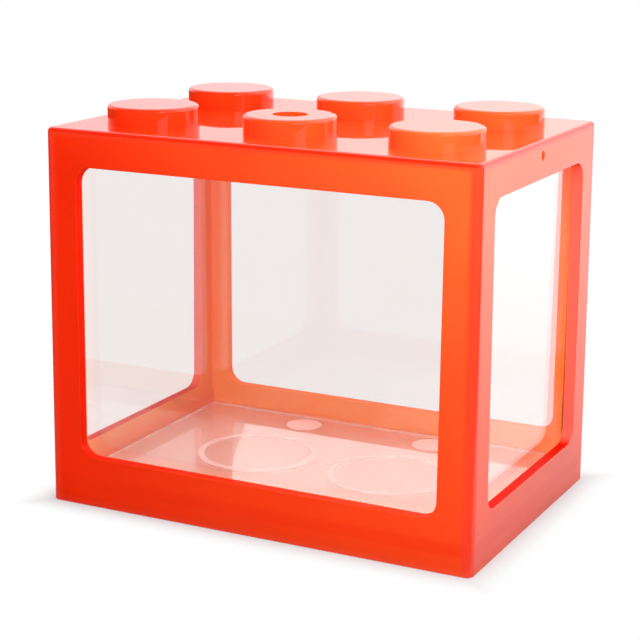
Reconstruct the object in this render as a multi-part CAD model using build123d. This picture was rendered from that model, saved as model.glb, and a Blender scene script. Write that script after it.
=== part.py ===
from build123d import *
from math import atan2, degrees
import os

# Stackable desktop aquarium: a clear tank under a see-through coloured case.
# Millimetres, +Z up, the long side along X, the front towards -Y.
# The origin is the middle of the footprint, on the table.

# Outer case, measured at the foot; each wall leans in a little towards the roof
case_length = 122.0
case_depth = 84.4
case_height = 101.4
case_lean = 0.7
case_wall = 2.9
case_roof = 3.0
case_corner_r = 2.2
case_top_edge_r = 1.0
case_inner_corner_r = 1.2
case_foot_edge_r = 0.5

# Windows, one through each wall
bottom_rail = 13.7
top_rail = 9.7
front_window_width = 102.6
side_window_width = 64.0
window_corner_r = 4.5
window_edge_r = 0.3

# Stacking studs on the roof, two rows of three
stud_columns = 3
stud_rows = 2
stud_pitch_x = 40.4
stud_pitch_y = 41.6
stud_r = 12.0
stud_height = 5.0
stud_wall = 2.5
stud_cap = 2.2
stud_edge_r = 0.9
air_hole_r = 4.5

# Moulding gate left on the right-hand rail, a shallow round dimple
gate_dimple_r = 1.2
gate_dimple_depth = 0.4
gate_dimple_drop = 3.7

# Clear tank; its side gap is the one at the rim, where the case is narrowest
tank_side_gap = 0.4
tank_wall = 2.0
tank_corner_r = 2.0
tank_inner_corner_r = 1.2
tank_head_gap = 1.0
tank_rim_edge_r = 0.6
tank_floor_z = 7.6
tank_floor_thickness = 2.0
tank_foot_edge_r = 0.4

# Two round sockets under the tank floor, each fits between four studs of the unit below
socket_stud_gap = 0.35
socket_wall = 1.8
socket_foot_gap = 0.6

# Round pads where the mould pushes the tank out, and the gate in the middle of the floor
pad_r = 5.3
pad_depth = 0.3
pad_offset_y = 28.6
floor_gate_r = 1.4
floor_gate_height = 0.6

# Rounded nubs low on the tank's long walls, which hold the case lightly
nub_r = 1.6
nub_reach = 0.25
nub_z = 6.6
nub_offset_x = 42.6

# Worked out from the sizes above
roof_underside_z = case_height - case_roof
lean_angle = degrees(atan2(case_lean, case_height))
cavity_length = case_length - 2 * case_wall
cavity_depth = case_depth - 2 * case_wall
tank_length = cavity_length - 2 * case_lean - 2 * tank_side_gap
tank_depth = cavity_depth - 2 * case_lean - 2 * tank_side_gap
tank_height = roof_underside_z - tank_head_gap
tank_inside_length = tank_length - 2 * tank_wall
tank_inside_depth = tank_depth - 2 * tank_wall
tank_floor_under_z = tank_floor_z - tank_floor_thickness
stud_diagonal = ((stud_pitch_x / 2) ** 2 + (stud_pitch_y / 2) ** 2) ** 0.5
socket_r = stud_diagonal - stud_r - socket_stud_gap
socket_length = tank_floor_under_z - socket_foot_gap
window_height = case_height - top_rail - bottom_rail
window_middle_z = bottom_rail + window_height / 2
column_middle = (stud_columns - 1) / 2
row_middle = (stud_rows - 1) / 2
up_from_base = (Align.CENTER, Align.CENTER, Align.MIN)


def stud_place(column, row):
    """Middle of one stud in plan."""
    return ((column - column_middle) * stud_pitch_x, (row - row_middle) * stud_pitch_y)


def rounded_block(length, depth, height, corner_r, lean=0):
    """An upright block standing on the XY plane, its four upright edges rounded, its walls leaning in."""
    return extrude(RectangleRounded(length, depth, corner_r), amount=height, taper=lean)


def window_cutter(width, through, turn):
    """A round-cornered bar that cuts one pair of opposite windows."""
    outline = RectangleRounded(width, window_height, window_corner_r)
    bar = extrude(outline, amount=through / 2, both=True)
    return Pos(0, 0, window_middle_z) * Rot(0, 0, turn) * Rot(90, 0, 0) * bar


def make_case():
    # Body: a rounded block with its top edge rounded over, open below
    case = rounded_block(case_length, case_depth, case_height, case_corner_r, lean_angle)
    case = fillet(case.faces().sort_by(Axis.Z)[-1].edges(), case_top_edge_r)
    case = fillet(case.faces().sort_by(Axis.Z)[0].edges(), case_foot_edge_r)
    case -= rounded_block(
        cavity_length, cavity_depth, roof_underside_z, case_inner_corner_r, lean_angle
    )

    # Windows right through both pairs of walls
    case -= window_cutter(front_window_width, 2 * case_depth, 0)
    case -= window_cutter(side_window_width, 2 * case_length, 90)
    for axis in (Axis.X, Axis.Y):
        for end in (0, -1):
            walls = case.faces().filter_by(lambda face: len(face.inner_wires()) > 0)
            outer_wall = walls.sort_by(axis)[end]
            case = fillet(outer_wall.inner_wires()[0].edges(), window_edge_r)

    # Hollow studs, closed on top
    for column in range(stud_columns):
        for row in range(stud_rows):
            x, y = stud_place(column, row)
            stud = Cylinder(stud_r, stud_height, align=up_from_base)
            stud = fillet(stud.faces().sort_by(Axis.Z)[-1].edges(), stud_edge_r)
            case += Pos(x, y, case_height) * stud
            hollow_height = case_roof + stud_height - stud_cap
            hollow = Cylinder(stud_r - stud_wall, hollow_height, align=up_from_base)
            case -= Pos(x, y, roof_underside_z) * hollow

    # Air and feeding hole through the front middle stud
    x, y = stud_place(column_middle, 0)
    air_hole = Cylinder(air_hole_r, 2 * (case_roof + stud_height))
    case -= Pos(x, y, case_height) * air_hole

    # Gate dimple on the right-hand rail
    dimple = Rot(0, 90, 0) * Cylinder(gate_dimple_r, 2 * gate_dimple_depth)
    dimple_z = case_height - gate_dimple_drop
    lean_there = case_lean * dimple_z / case_height
    case -= Pos(case_length / 2 - lean_there, 0, dimple_z) * dimple
    return case


def make_tank():
    # Walls run from the table to just under the roof of the case
    tank = rounded_block(tank_length, tank_depth, tank_height, tank_corner_r)
    tank = fillet(tank.faces().sort_by(Axis.Z)[0].edges(), tank_foot_edge_r)
    water_space = rounded_block(
        tank_inside_length, tank_inside_depth, tank_height, tank_inner_corner_r
    )
    tank -= Pos(0, 0, tank_floor_z) * water_space
    under_space = rounded_block(
        tank_inside_length, tank_inside_depth, tank_floor_under_z, tank_inner_corner_r
    )
    tank -= under_space
    tank = fillet(tank.faces().sort_by(Axis.Z)[-1].edges(), tank_rim_edge_r)

    # Round sockets under the floor, midway between neighbouring stud columns
    for gap in range(stud_columns - 1):
        x = (gap + 0.5 - column_middle) * stud_pitch_x
        tube = Cylinder(socket_r, socket_length + socket_wall / 2, align=up_from_base)
        tube -= Cylinder(socket_r - socket_wall, 2 * tank_floor_z)
        tank += Pos(x, 0, socket_foot_gap) * tube
        for side in (-1, 1):
            pad = Cylinder(pad_r, 2 * pad_depth)
            tank -= Pos(x, side * pad_offset_y, tank_floor_under_z) * pad

    # Gate left under the middle of the floor
    gate = Cylinder(floor_gate_r, 2 * floor_gate_height)
    tank += Pos(0, 0, tank_floor_under_z) * gate

    # Shallow nubs on the long walls
    for side_x in (-1, 1):
        for side_y in (-1, 1):
            ball = Sphere(nub_r)
            sink = tank_depth / 2 - nub_r + nub_reach
            tank += Pos(side_x * nub_offset_x, side_y * sink, nub_z) * ball
    return tank


os.makedirs("parts", exist_ok=True)
export_step(make_case(), "parts/outer_case.step")
export_step(make_tank(), "parts/inner_tank.step")
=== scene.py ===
import math
import bpy
from mathutils import Matrix, Vector


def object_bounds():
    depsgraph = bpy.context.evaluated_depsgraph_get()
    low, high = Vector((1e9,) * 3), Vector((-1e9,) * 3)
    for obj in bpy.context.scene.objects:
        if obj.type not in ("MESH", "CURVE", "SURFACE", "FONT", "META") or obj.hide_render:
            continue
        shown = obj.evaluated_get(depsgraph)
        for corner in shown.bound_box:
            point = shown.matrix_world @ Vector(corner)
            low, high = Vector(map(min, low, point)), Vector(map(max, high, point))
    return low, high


# Stackable desktop aquarium: a clear tank under a see-through coloured case.
# Lengths are in metres, colours are linear.

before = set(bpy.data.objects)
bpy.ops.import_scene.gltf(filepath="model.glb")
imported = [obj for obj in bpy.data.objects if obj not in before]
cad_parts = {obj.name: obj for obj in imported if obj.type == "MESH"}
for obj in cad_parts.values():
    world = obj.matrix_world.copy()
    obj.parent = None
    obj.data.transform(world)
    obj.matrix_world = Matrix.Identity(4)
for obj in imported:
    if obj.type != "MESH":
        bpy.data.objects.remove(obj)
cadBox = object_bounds()
halfX, halfY = ((cadBox[1][axis] - cadBox[0][axis]) / 2 for axis in (0, 1))
print("frame loaded", [round(v, 4) for v in cadBox[1]])


# Shader maths: a Wire is one output socket, and sums and products on it add Math nodes
class Wire:
    def __init__(self, sheet, socket):
        self.sheet = sheet
        self.socket = socket

    def maths(self, operation, other, flipped=False):
        pair = [other, self] if flipped else [self, other]
        return self.sheet.node("ShaderNodeMath", {"operation": operation}, dict(enumerate(pair)))

    def __add__(self, other):
        return self.maths("ADD", other)

    def __radd__(self, other):
        return self.maths("ADD", other, True)

    def __sub__(self, other):
        return self.maths("SUBTRACT", other)

    def __rsub__(self, other):
        return self.maths("SUBTRACT", other, True)

    def __mul__(self, other):
        return self.maths("MULTIPLY", other)

    def __rmul__(self, other):
        return self.maths("MULTIPLY", other, True)

    def __truediv__(self, other):
        return self.maths("DIVIDE", other)

    def __abs__(self):
        return self.maths("ABSOLUTE", 0.0)


# A Sheet is the node tree of one material, or of the world
class Sheet:
    def __init__(self, owner):
        self.owner = owner
        owner.use_nodes = True
        self.tree = owner.node_tree
        self.tree.nodes.clear()

    def node(self, kind, settings=None, values=None, out=0):
        made = self.tree.nodes.new(kind)
        for key, value in (settings or {}).items():
            setattr(made, key, value)
        for key, value in (values or {}).items():
            socket = made.inputs[key]
            if isinstance(value, Wire):
                self.tree.links.new(value.socket, socket)
            elif isinstance(value, tuple) and len(value) == 3 and len(socket.default_value) == 4:
                socket.default_value = (*value, 1)
            else:
                socket.default_value = value
        return Wire(self, made.outputs[out])

    def place(self, out="Object"):
        return self.node("ShaderNodeTexCoord", out=out)

    def axes(self, where):
        split = self.node("ShaderNodeSeparateXYZ", values={"Vector": where}).socket.node
        return [Wire(self, out) for out in split.outputs]

    def light(self, name):
        return self.node("ShaderNodeLightPath", out=name)

    def noise(self, look, where):
        scale, detail, roughness = look
        values = {"Vector": where, "Scale": scale, "Detail": detail, "Roughness": roughness}
        return self.node("ShaderNodeTexNoise", values=values)

    # from start to end as the value goes from low to high, with soft ends
    def fade(self, value, low, high, start=0.0, end=1.0):
        values = {"Value": value, "From Min": low, "From Max": high, "To Min": start, "To Max": end}
        return self.node("ShaderNodeMapRange", {"interpolation_type": "SMOOTHSTEP"}, values)

    def drop(self, value, low, high):
        return self.fade(value, low, high, 1.0, 0.0)

    # 1 between the two ends, falling to 0 over the soft width outside them
    def band(self, value, ends, soft):
        return self.fade(value, ends[0] - soft, ends[0]) * self.drop(value, ends[1], ends[1] + soft)

    def clamp(self, value):
        return self.node("ShaderNodeClamp", values={"Value": value})

    # sockets 6 and 7 are the two colours of a Mix node
    def blend(self, share, first, second):
        return self.node("ShaderNodeMix", {"data_type": "RGBA"}, {0: share, 6: first, 7: second}, 2)

    def mixed(self, share, first, second):
        return self.node("ShaderNodeMixShader", values={0: share, 1: first, 2: second})

    def diffuse(self, colour):
        return self.node("ShaderNodeBsdfDiffuse", values={"Color": colour})

    # light from the lamps goes on through see-through plastic, tinted
    def letThrough(self, shader, tint, share):
        passed = self.node("ShaderNodeBsdfTransparent", values={"Color": tint})
        return self.mixed(self.light("Is Shadow Ray") * share, shader, passed)

    def show(self, shader, kind="ShaderNodeOutputMaterial"):
        out = self.tree.nodes.new(kind)
        self.tree.links.new(shader.socket, out.inputs["Surface"])
        return self.owner


def paint(piece, material):
    piece.data.materials.clear()
    piece.data.materials.append(material)


# Translucent coloured plastic of the case, whose colours carry painted light and shade
casePlastic = {
    # painted light: left is the shaded and right the lit colour of the one plastic
    "left": (0.73, 0.012, 0.0002),
    "right": (0.84, 0.130, 0.028),
    "paintedLightRamp": (0.22, 3.4),  # painted light: how far the right side is painted paler at the table, and how much more per metre up
    # deep colour: for the clouds of tone, and for painted shade on the floor band, the roof crest and the
    # side window sills
    "deepToneAndShade": (0.66, 0.008, 0.001),
    # painted shade along the outer edges
    "edge": (0.74, 0.040, 0.022),
    "edgeShare": 0.8,
    "edgeReach": (1.2, 0.6),  # depth of the painted darker upright edges, in walls
    "roofEndOnShadeReach": (0.8, 0.4),  # and of those round the roof
    # painted shade along the crest of the roof's edge
    "crestShade": (0.1005, 0.1011),
    "crestShadeSoft": 0.0002,
    "crestShadeShare": 0.9,
    # painted shade where the tank's floor shows through: heights, softness and share
    "floorShadeBand": (0.0055, 0.0078),
    "floorShadeSoft": 0.001,
    "floorShadeShare": 0.3,
    # painted light on the inner faces, lit from behind
    "backlitInner": (0.95, 0.42, 0.085),
    "backlitInnerLow": (0.88, 0.20, 0.03),
    "lowReach": (1.5, 1.2),  # where the low side rails begin, in walls
    "lowLeft": 0.3,
    # painted light and shade on the window edges
    "litJamb": (0.92, 0.15, 0.11),
    "litJambFrom": (0.0281, 0.0316),
    "litRearEdge": (0.92, 0.22, 0.04),
    "frontEdgeShade": 0.35,
    "through": (0.90, 0.20, 0.002),
    "throughInner": (0.92, 0.34, 0.07),
    "throughShare": 0.28,
    "bodyRoughness": 0.30,
    "transmission": 0.08,
    "index": 1.49,
    "coatIndex": 1.68,
    "coatRoughness": 0.02,
    "dullShare": 0.96,  # how much of the coat the cut edges of the windows lose
    "cloud": (28.0, 4.0, 0.55),  # scale, detail and roughness of each noise
    "cloudFrom": (0.35, 0.65),
    "cloudShare": 0.15,
    "scuff": (900.0, 2.0, 0.6),
    "scuffStretch": (1.0, 1.0, 0.06),
    "scuffFrom": (0.62, 0.78),
    "scuffRoughness": 0.12,
    "wave": (55.0, 2.0, 0.4),
    "waveStrength": 0.02,
    "waveDepth": 0.002,
    "lampTint": (0.98, 0.42, 0.28),
    "lampShare": 0.8,
    "wall": 0.0029,
    "lean": 0.0007,
    "skin": 0.0001,
    "roof": 0.1014,
    "roofUnder": 0.0984,
    "windowX": 0.0514,
    "windowY": 0.0321,
    "windowZ": (0.0137, 0.0917),
}


def makeCasePlastic(values):
    sheet = Sheet(bpy.data.materials.new("casePlastic"))
    place = sheet.place()
    x, y, z = sheet.axes(place)
    farX, farY = abs(x), abs(y)
    wall, skin, roof = values["wall"], values["skin"], values["roof"]
    # depth from the middle, with the lean of the walls taken out, so that a wall's faces are at fixed depths
    slope = values["lean"] / roof
    outX, outY = farX + z * slope, farY + z * slope

    # painted light: paler towards the upper right, where the light from the right gathers in the plastic
    paintedLightLow, paintedLightRise = values["paintedLightRamp"]
    right = sheet.clamp((x / halfX + 1.0) * (z * paintedLightRise + paintedLightLow))
    colour = sheet.blend(right, values["left"], values["right"])

    # faint clouds of tone, and a faint band of painted shade where the tank's floor shows through
    cloud = sheet.fade(sheet.noise(values["cloud"], place), *values["cloudFrom"], 0.0, values["cloudShare"])
    floorShadeBand = sheet.band(z, values["floorShadeBand"], values["floorShadeSoft"])
    deeper = sheet.clamp(cloud + floorShadeBand * values["floorShadeShare"])
    colour = sheet.blend(deeper, colour, values["deepToneAndShade"])

    # painted shade: deeper along the outer edges, where a wall is seen end-on through the face beside it
    start, full = (reach * wall for reach in values["edgeReach"])
    endX = sheet.fade(outX, halfX - start, halfX - full)
    endY = sheet.fade(outY, halfY - start, halfY - full)
    start, full = (reach * wall for reach in values["roofEndOnShadeReach"])
    endZ = sheet.fade(z, roof - start, roof - full) - sheet.fade(z, roof - skin, roof + skin)
    edge = sheet.clamp(endX * endY + (endX + endY) * endZ)
    colour = sheet.blend(edge * values["edgeShare"], colour, values["edge"])
    # a thin dark line of painted shade along the crest of the roof's rounded edge
    crestShade = sheet.band(z, values["crestShade"], values["crestShadeSoft"])
    colour = sheet.blend(crestShade * values["crestShadeShare"], colour, values["deepToneAndShade"])

    # painted light: the inner faces are seen against the light and are painted paler, but less so on the low
    # side rails
    inside = sheet.drop(outX, halfX - wall + skin, halfX - wall + 2 * skin)
    inside = inside * sheet.drop(outY, halfY - wall + skin, halfY - wall + 2 * skin)
    inside = inside * sheet.drop(z, values["roofUnder"] + skin, values["roofUnder"] + 2 * skin)
    start, full = (reach * wall for reach in values["lowReach"])
    sideLow = sheet.fade(outX, halfX - start, halfX - full)
    sideLow = sideLow * sheet.fade(z, values["floorShadeBand"][1], values["windowZ"][0], 1.0, values["lowLeft"])
    colour = sheet.blend(inside, colour, sheet.blend(sideLow, values["backlitInner"], values["backlitInnerLow"]))

    # the window edges are dull, and carry painted light and shade: painted shade deep in the side windows
    # with uprights painted paler, and face-coloured in the front and back walls, with painted shade in front
    # and painted paler at the rear
    tall = sheet.band(z, values["windowZ"], skin)
    frontEdge = sheet.band(outY, (halfY - wall + skin, halfY - 2 * skin), skin) * tall
    frontEdge = frontEdge * sheet.drop(farX, values["windowX"], values["windowX"] + skin)
    sideEdge = sheet.band(outX, (halfX - wall + skin, halfX - 2 * skin), skin) * tall
    sideEdge = sideEdge * sheet.drop(farY, values["windowY"], values["windowY"] + skin)
    reveal = sheet.clamp(frontEdge + sideEdge)
    frontColour = sheet.blend(values["frontEdgeShade"], colour, values["deepToneAndShade"])
    frontColour = sheet.blend(sheet.fade(y, 0.0, skin), frontColour, values["litRearEdge"])
    upright = sheet.fade(farY, *values["litJambFrom"]) * sideEdge
    sideColour = sheet.blend(upright, values["deepToneAndShade"], values["litJamb"])
    edgeColour = sheet.blend(sideEdge, frontColour, sideColour)
    colour = sheet.blend(reveal, colour, edgeColour)

    # hairline scuffs across the mouldings
    stretched = sheet.node("ShaderNodeMapping", values={"Vector": place, "Scale": values["scuffStretch"]})
    scuff = sheet.noise(values["scuff"], stretched)
    smooth = values["bodyRoughness"]
    gloss = sheet.fade(scuff, *values["scuffFrom"], smooth, smooth + values["scuffRoughness"])
    # slight waves of the moulded faces
    bump = sheet.node("ShaderNodeBump", values={
        "Strength": values["waveStrength"],
        "Distance": values["waveDepth"],
        "Height": sheet.noise(values["wave"], place),
    })

    shader = sheet.node("ShaderNodeBsdfPrincipled", values={
        "Base Color": colour,
        "Roughness": gloss,
        "Normal": bump,
        "Coat Normal": bump,
        "IOR": values["index"],
        "Transmission Weight": values["transmission"],
        "Coat Weight": 1.0 - reveal * values["dullShare"],
        "Coat Roughness": values["coatRoughness"],
        "Coat IOR": values["coatIndex"],
        "Specular IOR Level": 0.0,
    })
    # light from behind comes through paler than the light that the surface sends back
    through = sheet.blend(inside * (1.0 - sideLow), values["through"], values["throughInner"])
    through = sheet.blend(reveal, through, edgeColour)
    glow = sheet.node("ShaderNodeBsdfTranslucent", values={"Color": through, "Normal": bump})
    shader = sheet.mixed(values["throughShare"], shader, glow)
    return sheet.show(sheet.letThrough(shader, values["lampTint"], values["lampShare"]))


paint(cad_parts["outer_case"], makeCasePlastic(casePlastic))
print("case plastic made")


# Clear plastic of the tank, with painted light of the case on its floor
clearPlastic = {
    "tint": (0.955, 0.93, 0.92),
    # painted light: the floor's tint is pinker than the walls', standing in for the red light of the case
    "floorGlowTint": (0.95, 0.885, 0.865),
    "roughness": 0.012,
    "dullRoughness": 0.34,
    "smear": (60.0, 5.0, 0.6),  # scale, detail and roughness of the noise
    "smearFrom": (0.5, 0.75),
    "smearRoughness": 0.03,
    # painted glow of the case on the floor's top
    "paintedCaseGlow": (0.88, 0.37, 0.27),
    "paintedCaseGlowShare": 0.26,
    "milk": (0.95, 0.90, 0.89),
    "milkShare": 0.40,
    "index": 1.5,
    "lampShare": 0.9,
    "floorRise": (0.0072, 0.0074),  # heights between which the top of the floor begins
    "floorEnd": (0.0077, 0.0078),  # and ends
    "underEnd": (0.0064, 0.0068),  # heights where the underside of the floor ends
    "ringX": 0.0202,
    "ringR": (0.0152, 0.0164),
    "ringSoft": 0.0005,
    "ringShare": 0.8,
    "padX": 0.0202,
    "padY": 0.0286,
    "padEdge": (0.0049, 0.0053),
    "markShare": 0.6,  # how dull the marks are next to the underside
}


def makeClearPlastic(values):
    sheet = Sheet(bpy.data.materials.new("clearPlastic"))
    place = sheet.place()
    x, y, z = sheet.axes(place)
    farX, farY = abs(x), abs(y)

    # the rings and the round pads under the floor show through it as dull marks
    ringX, padX, padY = farX - values["ringX"], farX - values["padX"], farY - values["padY"]
    ring = (ringX * ringX + y * y).maths("POWER", 0.5)
    pad = (padX * padX + padY * padY).maths("POWER", 0.5)
    marks = sheet.band(ring, values["ringR"], values["ringSoft"]) * values["ringShare"]
    marks = marks + sheet.drop(pad, *values["padEdge"])
    top = sheet.fade(z, *values["floorRise"]) * sheet.drop(z, *values["floorEnd"])
    mark = sheet.clamp(marks) * top
    under = sheet.drop(z, *values["underEnd"])

    # a few smears, and a dull underside
    smooth = values["roughness"]
    smear = sheet.noise(values["smear"], place)
    gloss = sheet.fade(smear, *values["smearFrom"], smooth, smooth + values["smearRoughness"])
    gloss = gloss + sheet.clamp(mark * values["markShare"] + under) * values["dullRoughness"]
    body = sheet.node("ShaderNodeBsdfPrincipled", values={
        "Base Color": sheet.blend(sheet.clamp(mark + top + under), values["tint"], values["floorGlowTint"]),
        "Roughness": gloss,
        "IOR": values["index"],
        "Transmission Weight": 1.0,
    })
    # the glow of the case around the floor is painted on it as a pink diffuse colour, and the marks scatter
    # a little light
    body = sheet.mixed(top * values["paintedCaseGlowShare"], body, sheet.diffuse(values["paintedCaseGlow"]))
    body = sheet.mixed(mark * values["milkShare"], body, sheet.diffuse(values["milk"]))
    return sheet.show(sheet.letThrough(body, values["tint"], values["lampShare"]))


paint(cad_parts["inner_tank"], makeClearPlastic(clearPlastic))
print("tank plastic made")


# Studio: white table running into a white room behind, dim room in front
studio = {
    "tableSize": 6.0,
    "tableWhite": (0.75, 0.75, 0.75),
    "tableOutsideShade": 0.60,  # share of that white outside the object's foot, so the table is painted brighter under the foot
    "footFade": (-0.008, -0.002),  # distances from the foot between which it changes
    "shadowFade": (-0.006, 0.009),  # distances between which the table's shadow ends
    "roomLevel": 0.42,
    "tableBackLevel": 1.9,
    "worldBackLevel": 1.8,
    "frontLevel": 0.03,
    "side": (0.87, 0.49),
    "sideFade": (-0.30, 0.45),
    "stripFade": (0.12, 0.18),
    "tableFade": (-0.048, -0.040),
    "worldFade": (-0.4, 0.5),
    "worldLeft": (-0.6, -0.2),
    "worldLeftLevel": 0.82,
}


# level of the white that a ray meets: full straight on, from front to back level in a mirror image
def mirrorLevel(mirrored, bright, front, back):
    return 1.0 + mirrored * (front - 1.0 + bright * (back - front))


# rays that have met only clear or mirroring faces, not a dull one
def firstHand(sheet):
    return sheet.light("Diffuse Depth").maths("LESS_THAN", 0.5)


def makeTable(values):
    half = values["tableSize"] / 2
    mesh = bpy.data.meshes.new("table")
    corners = [(-half, -half, 0), (half, -half, 0), (half, half, 0), (-half, half, 0)]
    mesh.from_pydata(corners, [], [(0, 1, 2, 3)])
    table = bpy.data.objects.new("table", mesh)
    bpy.context.scene.collection.objects.link(table)

    sheet = Sheet(bpy.data.materials.new("tableWhite"))
    x, y = sheet.axes(sheet.place())[:2]
    mirrored = sheet.light("Is Glossy Ray") * (1.0 - sheet.light("Is Transmission Ray"))
    # a mirror image of the table is dim at the front left and white at the back right
    acrossX, acrossY = x * values["side"][0], y * values["side"][1]
    bright = sheet.fade(acrossX + acrossY, *values["sideFade"]) * sheet.fade(y, *values["tableFade"])
    # beyond the strip that the right-hand face mirrors it is dim again
    bright = bright * sheet.drop(acrossX - acrossY, *values["stripFade"])
    level = mirrorLevel(mirrored, bright, values["frontLevel"], values["tableBackLevel"])

    # real shadows near the foot, with the table painted brighter under the foot than around it, and plain
    # white further out
    reach = (abs(x) - halfX).maths("MAXIMUM", abs(y) - halfY)
    paintedFootLight = sheet.fade(reach, *values["footFade"], 1.0, values["tableOutsideShade"])
    dark = sheet.node("ShaderNodeEmission", values={"Color": (0, 0, 0), "Strength": 0.0})
    near = sheet.mixed(level * paintedFootLight, dark, sheet.diffuse(values["tableWhite"]))
    glow = sheet.node("ShaderNodeEmission", values={"Color": (1, 1, 1), "Strength": level})
    far = sheet.fade(reach, *values["shadowFade"]) * firstHand(sheet)
    paint(table, sheet.show(sheet.mixed(far, near, glow)))


def makeWorld(values):
    world = bpy.data.worlds.new("studioWorld")
    sheet = Sheet(world)
    camera, glossy, through = (
        sheet.light(name) for name in ("Is Camera Ray", "Is Glossy Ray", "Is Transmission Ray")
    )
    seen = sheet.clamp(camera + glossy + through) * firstHand(sheet)
    x, y = sheet.axes(sheet.place("Generated"))[:2]
    bright = sheet.fade(y, *values["worldFade"])
    bright = bright * sheet.fade(x, *values["worldLeft"], values["worldLeftLevel"], 1.0)
    mirrored = glossy * (1.0 - through)
    level = mirrorLevel(mirrored, bright, values["frontLevel"], values["worldBackLevel"])
    strength = values["roomLevel"] * (1.0 - seen) + seen * level
    sky = sheet.node("ShaderNodeBackground", values={"Color": (1, 1, 1), "Strength": strength})
    sheet.show(sky, "ShaderNodeOutputWorld")
    bpy.context.scene.world = world


makeTable(studio)
makeWorld(studio)
print("table and room made")


# Square soft lamps, power in watts; only the streak is seen in the polished faces
lampAim = (0, 0, 0.05)
lamps = {
    "corner": {"from": (0.14, -0.13, 0.20), "size": 0.08, "power": 0.5, "mirrored": False},
    "streak": {"from": (0.45, -0.37, 0.24), "size": 0.28, "power": 0.45, "mirrored": True},
    "above": {"from": (-0.25, -0.35, 0.90), "size": 0.7, "power": 1.6, "mirrored": False},
    "back": {"from": (0.05, 0.50, 0.40), "size": 0.9, "power": 4.9, "mirrored": False},
    "front": {"from": (-0.10, -0.75, 0.35), "size": 0.5, "power": 1.8, "mirrored": False},
}


def makeLamp(name, values):
    light = bpy.data.lights.new(name, "AREA")
    light.shape = "SQUARE"
    light.size = values["size"]
    light.energy = values["power"]
    lamp = bpy.data.objects.new(name, light)
    lamp.visible_glossy = values["mirrored"]
    bpy.context.scene.collection.objects.link(lamp)
    place = Vector(values["from"])
    aim = (Vector(lampAim) - place).to_track_quat("-Z", "Y")
    lamp.matrix_world = Matrix.Translation(place) @ aim.to_matrix().to_4x4()


for lampName, lampValues in lamps.items():
    makeLamp(lampName, lampValues)
print("lamps set")


# Camera, from the edges of the object in the photograph; angles in degrees, lens and sensor in mm
view = {
    "azimuth": 26.439,
    "elevation": 14.301,
    "roll": 0.509,
    "distance": 0.483778,
    "lens": 100.43,
    "sensor": 36.0,
    "target": (-0.001316, -0.00016, 0.047959),
}


def makeCamera(values):
    azimuth, elevation = math.radians(values["azimuth"]), math.radians(values["elevation"])
    flat = math.cos(elevation)
    back = Vector((math.sin(azimuth) * flat, -math.cos(azimuth) * flat, math.sin(elevation)))
    data = bpy.data.cameras.new("view")
    data.sensor_width = values["sensor"]
    data.lens = values["lens"]
    camera = bpy.data.objects.new("view", data)
    bpy.context.scene.collection.objects.link(camera)
    place = Matrix.Translation(Vector(values["target"]) + back * values["distance"])
    turn = (-back).to_track_quat("-Z", "Y").to_matrix().to_4x4()
    roll = Matrix.Rotation(math.radians(values["roll"]), 4, "Z")
    camera.matrix_world = place @ turn @ roll
    bpy.context.scene.camera = camera


makeCamera(view)
bpy.context.scene.view_settings.view_transform = "Standard"
print("camera set")
